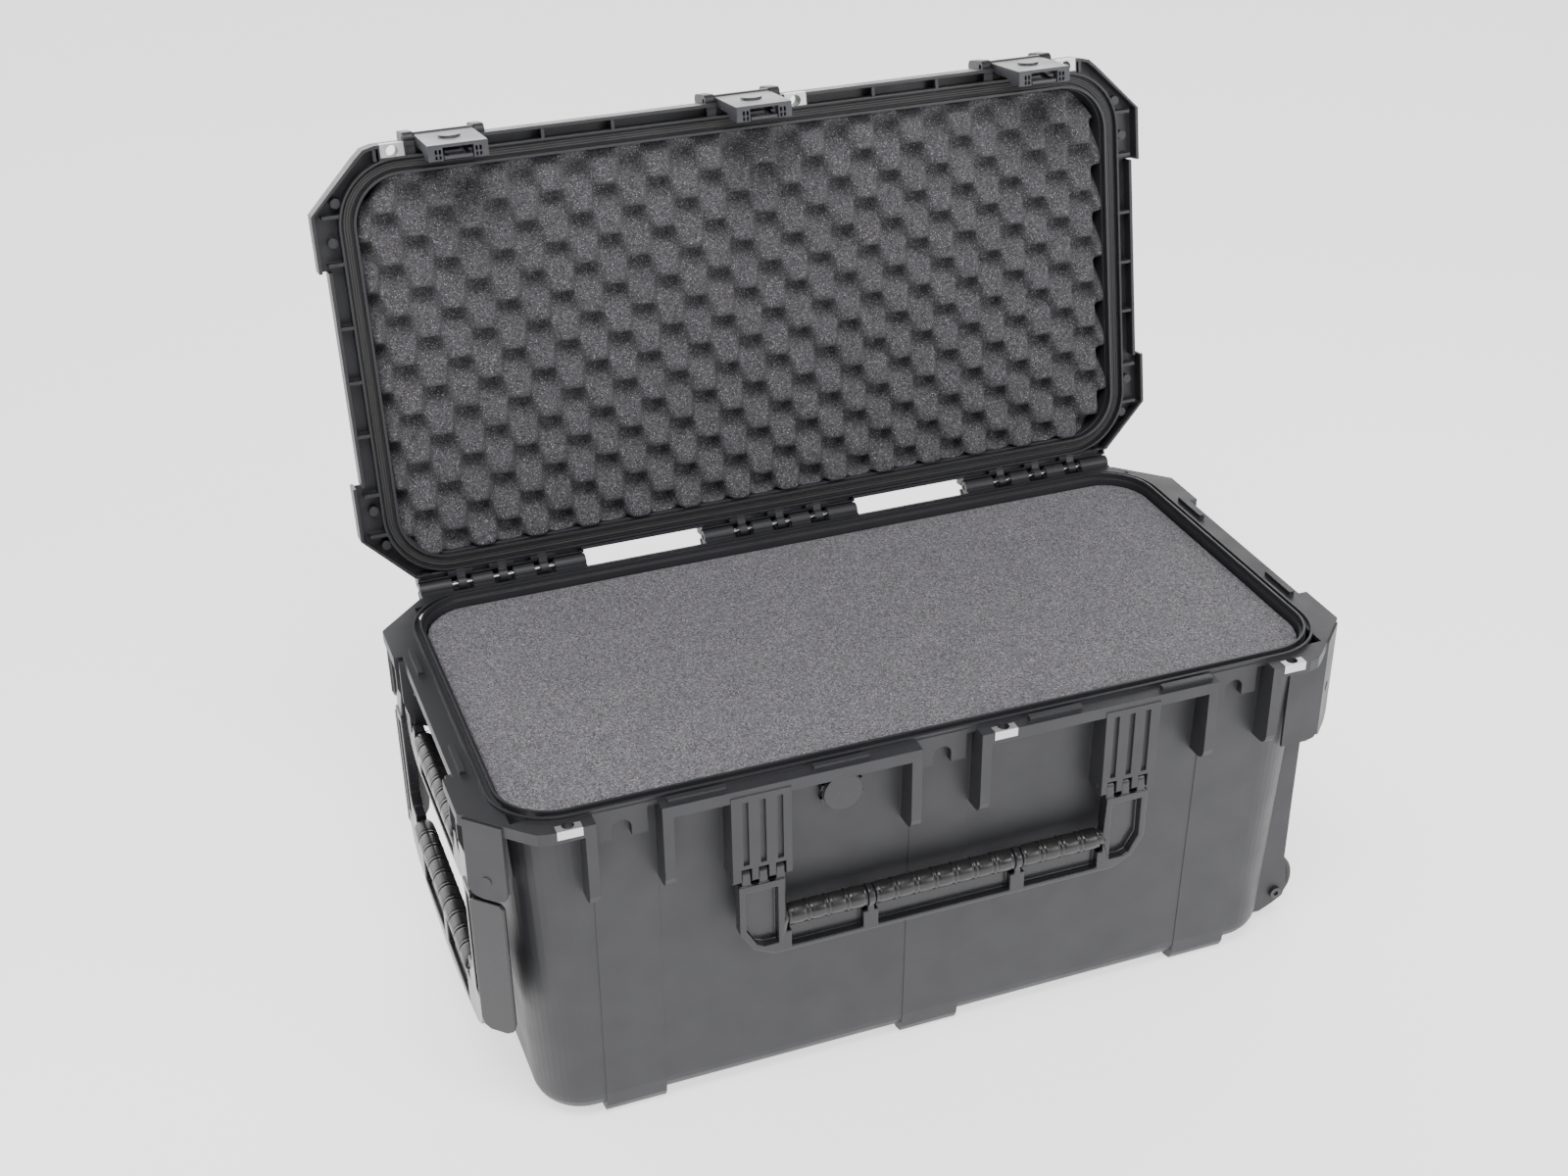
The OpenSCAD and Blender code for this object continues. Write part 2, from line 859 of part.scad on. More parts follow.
// Flat lever with side walls, two slotted legs and an opening for the trigger
module latch_body(x) {
    half = latch_w / 2;
    tip = base_h - 51;
    color([0.26, 0.26, 0.27])
        on_latch(x)
            difference() {
                union() {
                    x_rod(-half, half, latch_y, latch_z, 5);
                    box([-half, latch_face, tip], [half, latch_face + 3, latch_z + 1]);
                    for (s = [-1, 1]) {
                        x0 = s > 0 ? half - 3 : -half;
                        x_bar(x0, x0 + 3, [
                            [latch_face, tip], [latch_face + 14.2, tip], [latch_face + 14.2, tip + 17],
                            [latch_face + 10, tip + 24], [latch_face + 9, latch_z], [latch_face, latch_z]
                        ]);
                        y0 = s > 0 ? 13.5 : -half;
                        x_bar(y0, y0 + half - 13.5, [
                            [latch_face, tip], [latch_face + 14.2, tip],
                            [latch_face + 14.2, tip + 6], [latch_face + 3, tip + 12]
                        ]);
                    }
                    translate([0, latch_face - 0.9, base_h - 16])
                        rotate([90, 0, 0])
                            cylinder(r = 10, h = 2, center = true);
                }
                x_rod(-30, 30, latch_y, latch_z, latch_pin_r + fit);
                x_rod(-30, 30, trigger_y, trigger_z, trigger_pin_r + fit);
                for (s = [-1, 1]) {
                    for (dx = [16, 19.5]) {
                        box([s * dx - 0.9, latch_face + 4.5, tip - 1], [s * dx + 0.9, latch_face + 8.5, tip + 9]);
                        box([s * dx - 0.9, latch_face + 9.7, tip - 1], [s * dx + 0.9, latch_face + 12.8, tip + 9]);
                    }
                }
            }
}

// Release lever behind the latch face; its curved bar is pulled towards the face
module latch_trigger(x) {
    color([0.22, 0.22, 0.23])
        on_latch(x)
            difference() {
                union() {
                    x_rod(-12.6, -4, trigger_y, trigger_z, 3);
                    x_rod(4, 12.6, trigger_y, trigger_z, 3);
                    for (s = [-1, 1]) {
                        x0 = s > 0 ? 8.6 : -12.6;
                        x_bar(x0, x0 + 4, [
                            [trigger_y - 2, trigger_z], [trigger_y + 2, trigger_z],
                            [latch_face + 13.4, base_h - 38], [latch_face + 13.4, base_h - 49],
                            [latch_face + 10.4, base_h - 49], [latch_face + 10.4, base_h - 36]
                        ]);
                    }
                    intersection() {
                        x_bar(-12.6, 12.6, [
                            [latch_face + 10.4, base_h - 50.5], [latch_face + 13.4, base_h - 50.5],
                            [latch_face + 13.4, base_h - 43], [latch_face + 10.4, base_h - 43]
                        ]);
                        y_rod(-far, 0, 0, base_h - 78, 31);
                    }
                }
                x_rod(-30, 30, trigger_y, trigger_z, trigger_pin_r + fit);
            }
}

module trigger_pin(x) {
    color("silver")
        on_latch(x)
            x_rod(-latch_w / 2 + 0.5, latch_w / 2 - 0.5, trigger_y, trigger_z, trigger_pin_r);
}

// Torsion spring on the trigger pin, drawn as its coils
module trigger_spring(x) {
    color("silver")
        on_latch(x)
            for (i = [-1.5 : 1 : 1.5]) {
                translate([i * 1.6, trigger_y, trigger_z])
                    rotate([0, 90, 0])
                        rotate_extrude()
                            translate([2.3, 0])
                                circle(r = 0.6, $fn = 16);
            }
}

module latch_body_left() { latch_body(latch_x[0]); }
module latch_body_centre() { latch_body(latch_x[1]); }
module latch_body_right() { latch_body(latch_x[2]); }
module latch_trigger_left() { latch_trigger(latch_x[0]); }
module latch_trigger_centre() { latch_trigger(latch_x[1]); }
module latch_trigger_right() { latch_trigger(latch_x[2]); }
module trigger_pin_left() { trigger_pin(latch_x[0]); }
module trigger_pin_centre() { trigger_pin(latch_x[1]); }
module trigger_pin_right() { trigger_pin(latch_x[2]); }
module trigger_spring_left() { trigger_spring(latch_x[0]); }
module trigger_spring_centre() { trigger_spring(latch_x[1]); }
module trigger_spring_right() { trigger_spring(latch_x[2]); }

// ------------------------------------------------------------------ handles

// Front handle: two arms, a lower bar with pockets, and the rod under the grips
module front_handle_frame() {
    pz = front_pivot_z;
    color([0.22, 0.22, 0.23])
        difference() {
            union() {
                y_bar(-204, -192, [
                    [-190, pz - 10], [-190, 190], [-178, 171], [-160, 162],
                    [160, 162], [178, 171], [190, 190], [190, pz - 10],
                    [149, pz - 10], [149, 183], [-149, 183], [-149, pz - 10]
                ]);
                for (s = [-1, 1]) {
                    for (x = [153, 168, 183]) {
                        x_rod(s * x - 4, s * x + 4, front_pivot_y, pz, 6);
                        box([s * x - 4, front_pivot_y - 6, pz - 11], [s * x + 4, front_pivot_y + 5, pz]);
                    }
                }
                x_rod(-150, 150, -198, front_grip_z, 7);
                for (x = [-72, 66]) {
                    x_rod(x - 3, x + 3, -198, front_grip_z, 9.6);
                    box([x - 3, -204, 180], [x + 3, -192, front_grip_z]);
                }
            }
            for (s = [-1, 1]) {
                x_rod(min(s * 140, s * 198), max(s * 140, s * 198), front_pivot_y, pz, handle_pin_r + fit);
                y_bar(-205, -196, [
                    [s * 184, pz - 18], [s * 184, 192], [s * 175, 176],
                    [s * 168, 173], [s * 156, 173], [s * 156, pz - 18]
                ]);
            }
            for (r = [[-144, -79], [-65, 59], [73, 144]]) {
                box([r[0], -205, 166.5], [r[1], -196.5, 184]);
            }
        }
}

// Ribbed rubber sleeve on a rod, its ribs cut as shallow rings
module sleeve(length, inner_r, outer_r, pitch) {
    count = floor(length / pitch);
    difference() {
        cylinder(r = outer_r, h = length);
        translate([0, 0, -1])
            cylinder(r = inner_r, h = length + 2);
        for (i = [1 : count - 1]) {
            translate([0, 0, i * length / count - 0.75])
                difference() {
                    cylinder(r = outer_r + 1, h = 1.5);
                    cylinder(r = outer_r - 1, h = 1.5);
                }
        }
    }
}

module front_handle_grips() {
    color([0.1, 0.1, 0.1])
        for (r = [[-147, -76], [-68, 62], [70, 145]]) {
            translate([r[0], -198, front_grip_z])
                rotate([0, 90, 0])
                    sleeve(r[1] - r[0], 7 + fit, grip_r, 18);
        }
}

// Small lifting handle on the end wall
module carry_handle_frame() {
    px = carry_pivot_x;
    pz = carry_pivot_z;
    color([0.22, 0.22, 0.23])
        difference() {
            union() {
                for (s = [-1, 1]) {
                    y_rod(min(s * 96.6, s * 119.4), max(s * 96.6, s * 119.4), px, pz, 6.5);
                    x_bar(px - 8, px + 2, [
                        [s * 97, pz], [s * 119, pz], [s * 119, 256], [s * 106, 238],
                        [s * 88, 229], [s * 74, 229], [s * 74, 268], [s * 86, 272],
                        [s * 89.5, 262], [s * 97, 258]
                    ]);
                }
                x_bar(px - 8, px + 2, [[-80, 229], [80, 229], [80, 249], [-80, 249]]);
                y_rod(-76, 76, px - 1, 262, 7);
            }
            y_rod(-126, 126, px, pz, handle_pin_r + fit);
            box([px - 9, -66, 233], [px - 4, 66, 245]);
        }
}

module carry_handle_grip() {
    color([0.1, 0.1, 0.1])
        translate([carry_pivot_x - 1, 73, 262])
            rotate([90, 0, 0])
                sleeve(146, 7 + fit, grip_r, 14);
}

// Long frame that the case is pulled by; it folds flat over the end wall
module tow_handle_frame() {
    px = tow_pivot_x;
    pz = tow_pivot_z;
    color([0.24, 0.24, 0.25])
        difference() {
            union() {
                for (s = [-1, 1]) {
                    y_bar(min(s * 127, s * 147), max(s * 127, s * 147), [
                        [px - 13, 256], [px - 11, pz + 6], [px - 5, pz + 11], [px + 4, pz + 10],
                        [px + 9, pz + 3], [px + 8, 256]
                    ]);
                    x_bar(px - 14, px - 4, [
                        [s * 148, 257], [s * 148, 124], [s * 138, 108], [s * 122, 98],
                        [s * 106, 96], [s * 106, 159], [s * 118, 161], [s * 126, 172], [s * 126, 257]
                    ]);
                    translate([-390.4, s * 160.5, 0])
                        rotate([0, 0, -45 * s])
                            x_bar(-2, 2, [
                                [-16.5, 250], [-12.5, 254], [12.5, 254], [16.5, 250],
                                [16.5, 127], [14, 119.5], [8, 116], [-8, 116],
                                [-14, 119.5], [-16.5, 127]
                            ]);
                }
                x_bar(px - 14, px - 4, [
                    [-110, 96], [-72, 89], [-24, 83], [24, 83], [72, 89], [110, 96],
                    [110, 131], [-110, 131]
                ]);
                y_rod(-108, 108, -396, 146, 7);
            }
            y_rod(-154, 154, px, pz, tow_pin_r + fit);
            for (r = [[-90, -6], [6, 90]]) {
                box([px - 15, r[0], 96], [px - 9, r[1], 125]);
            }
            for (s = [-1, 1]) {
                box([px - 15, s * 137 - 6, 142], [px - 9, s * 137 + 6, 248]);
            }
        }
}

module tow_handle_grip() {
    color([0.1, 0.1, 0.1])
        translate([-396, 104, 146])
            rotate([90, 0, 0])
                sleeve(208, 7 + fit, grip_r, 13);
}

// ------------------------------------------------------------------- wheels

// Spins a profile of radius and width round the axle of one wheel
module wheel_turning(side, points) {
    translate([axle_x, side * wheel_y, axle_z])
        rotate([-90 * side, 0, 0])
            rotate_extrude($fn = 72)
                polygon(points);
}

module wheel_hub(side) {
    half = wheel_w / 2;
    color([0.18, 0.18, 0.19])
        wheel_turning(side, [
            [7.1, -half + 1], [11, -half + 1], [13, -half + 5], [20, -half + 5],
            [21, -half + 2], [23.5, -half + 2], [23.5, half - 2], [21, half - 2],
            [20, half - 5], [13, half - 5], [11, half - 1], [7.1, half - 1]
        ]);
}

module wheel_tyre(side) {
    half = wheel_w / 2;
    color([0.1, 0.1, 0.1])
        wheel_turning(side, [
            [23.6, -half + 1.5], [26, -half], [28.8, -half], [wheel_r, -half + 2.5],
            [wheel_r, half - 2.5], [28.8, half], [26, half], [23.6, half - 1.5]
        ]);
}

module wheel_bearings(side) {
    half = wheel_w / 2;
    color("silver")
        for (e = [-1, 1]) {
            wheel_turning(side, [
                [axle_r + fit, e * (half - 8)], [7, e * (half - 8)],
                [7, e * (half - 0.5)], [axle_r + fit, e * (half - 0.5)]
            ]);
        }
}

module wheel_hub_front() { wheel_hub(-1); }
module wheel_tyre_front() { wheel_tyre(-1); }
module wheel_bearings_front() { wheel_bearings(-1); }
module wheel_hub_back() { wheel_hub(1); }
module wheel_tyre_back() { wheel_tyre(1); }
module wheel_bearings_back() { wheel_bearings(1); }

base_shell();
hinge_pins();
foam_bottom_pad();
foam_layer_lower();
foam_layer_middle();
foam_layer_upper();
base_padlock_plates();
valve_body();
valve_membrane();
valve_o_ring();
front_handle_pins();
carry_handle_pins();
tow_handle_pins();
wheel_axles();
wheel_axle_nuts();
lid_shell();
lid_gasket();
lid_foam();
lid_padlock_plates();
latch_pins();
latch_body_left();
latch_body_centre();
latch_body_right();
latch_trigger_left();
latch_trigger_centre();
latch_trigger_right();
trigger_pin_left();
trigger_pin_centre();
trigger_pin_right();
trigger_spring_left();
trigger_spring_centre();
trigger_spring_right();
front_handle_frame();
front_handle_grips();
carry_handle_frame();
carry_handle_grip();
tow_handle_frame();
tow_handle_grip();
wheel_hub_front();
wheel_tyre_front();
wheel_bearings_front();
wheel_hub_back();
wheel_tyre_back();
wheel_bearings_back();
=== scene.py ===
import json
import math

import bmesh
import bpy
from mathutils import Matrix, Vector, noise


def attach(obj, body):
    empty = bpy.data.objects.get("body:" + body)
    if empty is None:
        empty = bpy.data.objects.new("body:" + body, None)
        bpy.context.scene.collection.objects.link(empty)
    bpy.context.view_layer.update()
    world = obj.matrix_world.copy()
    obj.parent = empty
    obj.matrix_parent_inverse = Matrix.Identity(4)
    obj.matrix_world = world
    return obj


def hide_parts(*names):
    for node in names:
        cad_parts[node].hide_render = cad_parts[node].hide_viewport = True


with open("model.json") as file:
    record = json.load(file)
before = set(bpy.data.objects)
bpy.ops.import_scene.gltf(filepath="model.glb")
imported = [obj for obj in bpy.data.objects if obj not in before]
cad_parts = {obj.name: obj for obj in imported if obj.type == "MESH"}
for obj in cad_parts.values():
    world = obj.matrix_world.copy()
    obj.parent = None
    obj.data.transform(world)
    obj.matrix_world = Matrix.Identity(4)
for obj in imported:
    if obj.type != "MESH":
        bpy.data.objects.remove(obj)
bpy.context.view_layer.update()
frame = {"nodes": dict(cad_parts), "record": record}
scene = bpy.context.scene
nodes = frame["nodes"]
body_of = {n: b for b, ns in frame["record"]["behaviour"]["bodies"].items() for n in ns}
slot_of = {s["node"]: s["material_slot"] for s in frame["record"]["subparts"]}

# Lid pieces are built on the closed case, then turned about the hinge axis to fully open
HINGE = Vector((0, 0.2063, 0.3381))
LID_OPEN = math.radians(100.5)
TO_OPEN = (Matrix.Translation(HINGE) @ Matrix.Rotation(-LID_OPEN, 4, "X")
           @ Matrix.Translation(-HINGE))
RIM_Z = 0.3383
LID_TOP = RIM_Z + 0.056


# ------------------------------------------------------------------- materials
# How a range is mapped: sockets of the Map Range node, in order
SPAN_SOCKETS = ("From Min", "From Max", "To Min", "To Max")


class Tree:
    """A material being built: nodes by short calls, linked by their sockets."""

    def __init__(self, name):
        self.material = bpy.data.materials.new(name)
        self.material.use_nodes = True
        self.tree = self.material.node_tree
        self.shader = self.tree.nodes["Principled BSDF"]

    def add(self, kind, settings=None, **inputs):
        node = self.tree.nodes.new(kind)
        for key, value in (settings or {}).items():
            setattr(node, key, value)
        for key, value in inputs.items():
            self.set(node, key.replace("_", " "), value)
        return node

    def set(self, node, key, value):
        socket = node.inputs[int(key)] if key.isdigit() else node.inputs[key]
        if isinstance(value, bpy.types.NodeSocket):
            self.tree.links.new(value, socket)
        else:
            socket.default_value = value

    def place(self):
        return self.add("ShaderNodeTexCoord").outputs["Object"]

    def noise(self, scale, detail=2.0, rough=0.5, vector=None):
        node = self.add("ShaderNodeTexNoise", Scale=scale, Detail=detail, Roughness=rough)
        self.set(node, "Vector", vector or self.place())
        return node.outputs["Fac"]

    def ramp(self, fac, *stops):
        node = self.add("ShaderNodeValToRGB", Fac=fac)
        marks = node.color_ramp.elements
        while len(marks) < len(stops):
            marks.new(0.5)
        for mark, (at, colour) in zip(marks, stops):
            mark.position = at
            mark.color = colour if len(colour) == 4 else (*colour, 1)
        return node.outputs["Color"]

    def span(self, value, low, high, to_low, to_high):
        node = self.add("ShaderNodeMapRange", Value=value)
        for key, v in zip(SPAN_SOCKETS, (low, high, to_low, to_high)):
            node.inputs[key].default_value = v
        return node.outputs["Result"]

    def math(self, operation, a, b):
        node = self.add("ShaderNodeMath", {"operation": operation})
        self.set(node, "0", a)
        self.set(node, "1", b)
        return node.outputs[0]

    def mix(self, fac, a, b):
        node = self.add("ShaderNodeMix", {"data_type": "RGBA"})
        self.set(node, "0", fac)
        self.set(node, "6", a)
        self.set(node, "7", b)
        return node.outputs[2]

    def bump(self, height, depth, normal=None, strength=1.0):
        node = self.add("ShaderNodeBump", Height=height, Distance=depth, Strength=strength)
        if normal is not None:
            self.set(node, "Normal", normal)
        return node.outputs["Normal"]

    def edges(self, radius):
        """The rounded normal, and how near an edge is from 0 to 1."""
        round_edge = self.add("ShaderNodeBevel", {"samples": 4}, Radius=radius).outputs["Normal"]
        flat = self.add("ShaderNodeNewGeometry").outputs["Normal"]
        dot = self.add("ShaderNodeVectorMath", {"operation": "DOT_PRODUCT"})
        self.tree.links.new(round_edge, dot.inputs[0])
        self.tree.links.new(flat, dot.inputs[1])
        near = self.span(dot.outputs["Value"], 0.995, 0.80, 0.0, 1.0)
        return round_edge, near


def rgb(level, tint=0.0):
    """A grey of the given level, with its blue raised by tint."""
    return (level, level, level * (1 + tint), 1)


def plastic(name, dark, light, rough, grain, edge_radius=0.0008, painted_edge_highlight=1.5):
    """Moulded plastic: fine sparkle texture, slow tone changes, soft edges with a painted highlight
    lightening their colour.
    """
    m = Tree(name)
    slow = m.noise(6.0, 3.0)
    grainy = m.noise(1500.0, 3.0, 0.6)
    tone = m.mix(slow, rgb(dark, 0.14), rgb(light, 0.20))
    speck = m.span(grainy, 0.35, 0.65, 0.93, 1.07)
    scaled = m.add("ShaderNodeVectorMath", {"operation": "SCALE"})
    m.tree.links.new(tone, scaled.inputs[0])
    m.set(scaled, "Scale", speck)
    tone = scaled.outputs["Vector"]
    normal, near = m.edges(edge_radius)
    # Painted highlight: near edges the colour is mixed towards a lighter grey, in noisy patches.
    edge_highlight_breakup = m.span(m.noise(90.0, 5.0, 0.7), 0.45, 0.75, 0.25, 1.0)
    near = m.math("MULTIPLY", near, edge_highlight_breakup)
    tone = m.mix(m.math("MULTIPLY", near, 0.55), tone, rgb(light * painted_edge_highlight, 0.03))
    m.set(m.shader, "Base Color", tone)
    patch = m.span(m.noise(28.0, 4.0), 0.3, 0.7, rough - 0.05, rough + 0.06)
    m.set(m.shader, "Roughness", m.math("SUBTRACT", patch, m.math("MULTIPLY", near, 0.06)))
    m.set(m.shader, "Normal", m.bump(grainy, grain, normal))
    m.shader.inputs["Specular IOR Level"].default_value = 0.5
    return m.material


def rubber(name, level, rough, grain):
    """Soft dark rubber: slow tone changes, uneven sheen, fine grain."""
    m = Tree(name)
    fine = m.noise(900.0, 4.0, 0.65)
    slow = m.noise(20.0, 3.0)
    m.set(m.shader, "Base Color", m.mix(slow, rgb(level * 0.8), rgb(level * 1.25)))
    sheen = m.span(m.noise(60.0, 4.0), 0.3, 0.7, rough - 0.06, rough + 0.08)
    m.set(m.shader, "Roughness", sheen)
    m.set(m.shader, "Normal", m.bump(fine, grain))
    return m.material


def metal(name, level, rough, brushed):
    """Stamped or turned steel: brushing along one way, faint smears."""
    m = Tree(name)
    stretch = m.add("ShaderNodeMapping")
    stretch.inputs["Scale"].default_value = brushed
    m.tree.links.new(m.place(), stretch.inputs["Vector"])
    lines = m.noise(1.0, 5.0, 0.7, stretch.outputs["Vector"])
    smear = m.noise(140.0, 4.0)
    m.shader.inputs["Metallic"].default_value = 1.0
    tone = m.mix(lines, rgb(level * 0.86, 0.01), rgb(min(level * 1.08, 0.95), 0.01))
    m.set(m.shader, "Base Color", tone)
    m.set(m.shader, "Roughness", m.span(smear, 0.3, 0.7, rough - 0.05, rough + 0.09))
    m.set(m.shader, "Normal", m.bump(lines, 0.00004))
    return m.material


def foam(name, level, painted_glint_level, scale=900.0):
    """Open-cell foam: cells of mixed tone over a grey ground, and sparse painted glints on the cell
    walls.
    """
    m = Tree(name)
    where = m.place()
    cells = m.add("ShaderNodeTexVoronoi", {"feature": "F1"}, Scale=scale)
    m.tree.links.new(where, cells.inputs["Vector"])
    hashed = m.add("ShaderNodeSeparateColor")
    m.tree.links.new(cells.outputs["Color"], hashed.inputs[0])
    speck = m.ramp(hashed.outputs[0], (0.0, rgb(level * 0.42)),
                   (0.25, rgb(level * 0.78, 0.03)), (0.6, rgb(level * 1.05, 0.05)),
                   (0.9, rgb(level * 1.5, 0.04)), (1.0, rgb(level * 2.1, 0.02)))
    cloud = m.mix(m.noise(30.0, 3.0), (0.91, 0.88, 0.91, 1), (1.11, 1.07, 1.11, 1))
    blend = m.add("ShaderNodeMix", {"data_type": "RGBA", "blend_type": "MULTIPLY"})
    m.set(blend, "0", 1.0)
    m.set(blend, "6", speck)
    m.set(blend, "7", cloud)
    # Painted glints: rare tiny cells take a bright warm-to-cool colour in place of the foam's own.
    painted_glint_cells = m.add("ShaderNodeTexVoronoi", {"feature": "F1"}, Scale=scale * 1.25)
    m.tree.links.new(where, painted_glint_cells.inputs["Vector"])
    pick = m.add("ShaderNodeSeparateColor")
    m.tree.links.new(painted_glint_cells.outputs["Color"], pick.inputs[0])
    rare = m.math("GREATER_THAN", pick.outputs[1], 0.94)
    small = m.math("LESS_THAN", painted_glint_cells.outputs["Distance"], 0.36)
    warm, cool = (painted_glint_level, painted_glint_level * 0.82, painted_glint_level * 0.66), (painted_glint_level * 0.70, painted_glint_level * 0.86, painted_glint_level)
    painted_glint_colour = m.ramp(pick.outputs[0], (0.0, warm), (0.4, rgb(painted_glint_level)), (1.0, cool))
    colour = m.mix(m.math("MULTIPLY", rare, small), blend.outputs[2], painted_glint_colour)
    m.set(m.shader, "Base Color", colour)
    m.shader.inputs["Roughness"].default_value = 0.95
    m.shader.inputs["Specular IOR Level"].default_value = 0.12
    m.shader.inputs["Sheen Weight"].default_value = 0.06
    m.shader.inputs["Sheen Roughness"].default_value = 0.6
    pores = m.noise(scale * 1.2, 4.0, 0.7)
    m.set(m.shader, "Normal", m.bump(pores, 0.0009, strength=0.7))
    return m.material


def cloth_disc(name):
    """Pale woven membrane."""
    m = Tree(name)
    weave = m.noise(2500.0, 2.0)
    m.set(m.shader, "Base Color", m.mix(weave, rgb(0.72), rgb(0.88)))
    m.shader.inputs["Roughness"].default_value = 0.9
    m.set(m.shader, "Normal", m.bump(weave, 0.0001))
    return m.material


MATERIALS = {
    "moulded_plastic": plastic("moulded_plastic", 0.018, 0.022, 0.50, 0.00006),
    "lid_plastic": plastic("lid_plastic", 0.016, 0.020, 0.46, 0.00006),
    "latch_plastic": plastic("latch_plastic", 0.036, 0.044, 0.38, 0.00005, 0.0006),
    "handle_plastic": plastic("handle_plastic", 0.014, 0.018, 0.26, 0.00002, 0.0006),
    "grip_rubber": rubber("grip_rubber", 0.012, 0.30, 0.0000008),
    "gasket_rubber": rubber("gasket_rubber", 0.030, 0.62, 0.00012),
    "base_foam": foam("base_foam", 0.142, 0.75),
    "lid_foam": foam("lid_foam", 0.068, 0.60),
    "stainless": metal("stainless", 0.60, 0.42, (2500, 60, 60)),
    "steel": metal("steel", 0.42, 0.30, (2500, 100, 100)),
    "spring_steel": metal("spring_steel", 0.50, 0.28, (2500, 200, 200)),
    "dark_steel": plastic("dark_steel", 0.020, 0.030, 0.34, 0.00003, 0.0005),
    "membrane": cloth_disc("membrane"),
    "tyre_rubber": rubber("tyre_rubber", 0.028, 0.55, 0.00010),
    "wheel_plastic": plastic("wheel_plastic", 0.035, 0.045, 0.40, 0.00004, 0.0006),
}


# ---------------------------------------------------------------- mesh helpers
TINY = 0.00001
FLAT = math.radians(0.6)


def linked(name, mesh):
    """A new object in the scene."""
    obj = bpy.data.objects.new(name, mesh)
    scene.collection.objects.link(obj)
    return obj


def smooth_mesh(work, name):
    """The finished bmesh as a smooth-shaded mesh."""
    for face in work.faces:
        face.smooth = True
    mesh = bpy.data.meshes.new(name)
    work.to_mesh(mesh)
    work.free()
    return mesh


def clean_copy(node, name):
    """The CAD node's solid as a new mesh of plane, convex faces, free of doubles."""
    work = bmesh.new()
    work.from_mesh(nodes[node].data)
    bmesh.ops.remove_doubles(work, verts=work.verts, dist=TINY)
    bmesh.ops.dissolve_degenerate(work, edges=work.edges, dist=TINY)
    bmesh.ops.dissolve_limit(work, angle_limit=FLAT, verts=work.verts,
                             edges=work.edges, use_dissolve_boundaries=False)
    bmesh.ops.connect_verts_concave(work, faces=work.faces)
    return smooth_mesh(work, name)


def stand_for(obj, node):
    """Gives a piece the material, body and slot of the CAD node that it replaces."""
    obj.data.materials.clear()
    obj.data.materials.append(MATERIALS[slot_of[node]])
    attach(obj, body_of[node])
    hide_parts(node)


def rolled_edges(node, bevel, segments):
    """The CAD node's shape again, with its sharp edges rolled over."""
    name = node + "_shape"
    obj = linked(name, clean_copy(node, name))
    soft = obj.modifiers.new("edges", "BEVEL")
    soft.width = bevel
    soft.segments = segments
    soft.limit_method = "ANGLE"
    soft.angle_limit = math.radians(32)
    soft.use_clamp_overlap = False
    soft.harden_normals = False
    even = obj.modifiers.new("normals", "WEIGHTED_NORMAL")
    even.keep_sharp = True
    even.weight = 80
    stand_for(obj, node)


# ------------------------------------------------------------------ hard parts
for node, obj in nodes.items():
    obj.data.materials.clear()
    obj.data.materials.append(MATERIALS[slot_of[node]])

for handle in ("front", "carry", "tow"):
    rolled_edges(handle + "_handle_frame", 0.0012, 3)
for part in ("latch_body_", "latch_trigger_"):
    for place in ("left", "centre", "right"):
        rolled_edges(part + place, 0.0006, 2)


# ----------------------------------------------------------------------- grips
GRIP_R = 0.0100
GRIP_BORE = 0.00706
GRIP_SIDES = 40
FULL_TURN = 2 * math.pi


def bead(t, width):
    """A smooth bump of height 1 and the given width about t = 0."""
    return math.cos(math.pi * t / width) * 0.5 + 0.5 if abs(t) < width / 2 else 0.0


def around_path(path, k, side):
    """Unit vectors round the path at its point k, one for each side of a sleeve."""
    before, after = path[max(k - 1, 0)], path[min(k + 1, len(path) - 1)]
    up = side.cross((after - before).normalized())
    angles = [FULL_TURN * n / GRIP_SIDES for n in range(GRIP_SIDES)]
    return [(angle, side * math.cos(angle) + up * math.sin(angle)) for angle in angles]


def grip_tube(work, path, side, pitch, nub_angle, nubs, relief):
    """A soft sleeve along a path: barrel segments, a proud ring between each two, small nubs."""
    spots = [0.0]
    for a, b in zip(path, path[1:]):
        spots.append(spots[-1] + (b - a).length)
    length = spots[-1]
    pitch = length / max(2, round(length / pitch))
    loops = []
    for k, (centre, at) in enumerate(zip(path, spots)):
        u = (at / pitch) % 1.0
        near = min(u, 1 - u) * pitch
        ring = bead(near, 0.0028)
        groove = bead(near - 0.0023, 0.0022)
        end = min(at, length - at)
        closing = 0.0016 * (1 - min(end / 0.0024, 1.0)) ** 2
        barrel = math.sin(math.pi * u) ** 0.7
        shape = 0.00060 * barrel + 0.00095 * ring - 0.00040 * groove
        radius = GRIP_R - 0.00105 * relief + shape * relief - closing
        loop = []
        for angle, out in around_path(path, k, side):
            off = (angle - nub_angle + math.pi) % FULL_TURN - math.pi
            nub = nubs * bead(off, 0.34) * bead(u * pitch - 0.0034, 0.0030)
            loop.append(work.verts.new(centre + out * (radius + nub)))
        loops.append(loop)
    first, last = ([work.verts.new(path[k] + out * GRIP_BORE)
                    for _, out in around_path(path, k, side)] for k in (0, len(path) - 1))
    loops = [first] + loops + [last]
    for a, b in zip(loops, loops[1:] + loops[:1]):
        for n in range(GRIP_SIDES):
            m = (n + 1) % GRIP_SIDES
            work.faces.new((a[n], a[m], b[m], b[n]))


def straight(a, b, step=0.0006):
    """Points from a to b in even small steps."""
    a, b = Vector(a), Vector(b)
    n = max(2, int((b - a).length / step))
    return [a.lerp(b, k / n) for k in range(n + 1)]


